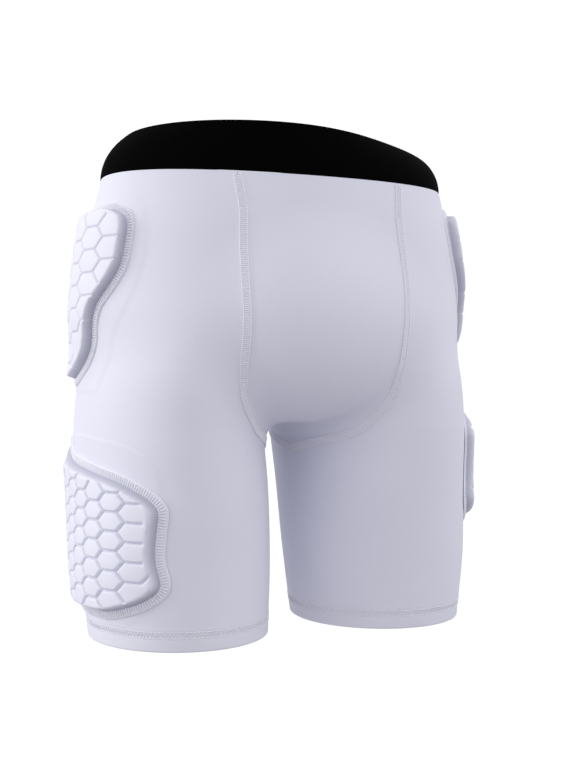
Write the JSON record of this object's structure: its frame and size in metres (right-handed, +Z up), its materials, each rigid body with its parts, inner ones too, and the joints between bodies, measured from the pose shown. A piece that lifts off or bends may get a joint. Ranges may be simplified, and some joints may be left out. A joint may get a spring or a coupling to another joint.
{
  "type": "padded compression shorts with hip pads and thigh pads",
  "caption": "White padded compression shorts in their worn shape, with a black elastic waistband, a pouch front and hexagonal foam pads over the hips and thighs.",
  "frame": {"origin": "centre of the waist opening, halfway up the elastic waistband", "axes": "+Z up along the wearer's body, -Y towards the wearer's front, +X towards the wearer's left side"},
  "size_m": [0.3619, 0.2625, 0.4077],
  "materials": {
    "white_knit": "smooth matt white compression knit",
    "white_hem": "turned hem of the same white knit",
    "pad_foam": "soft satin white fabric moulded over foam",
    "black_elastic": "matt black woven elastic"
  },
  "bodies": {
    "root": {"waistband": "black_elastic", "front_panel": "white_knit", "right_leg_panel": "white_knit", "left_leg_panel": "white_knit", "right_hem": "white_hem", "left_hem": "white_hem", "right_hip_pad": "pad_foam", "left_hip_pad": "pad_foam", "right_thigh_pad": "pad_foam", "left_thigh_pad": "pad_foam"}
  },
  "joints": []
}
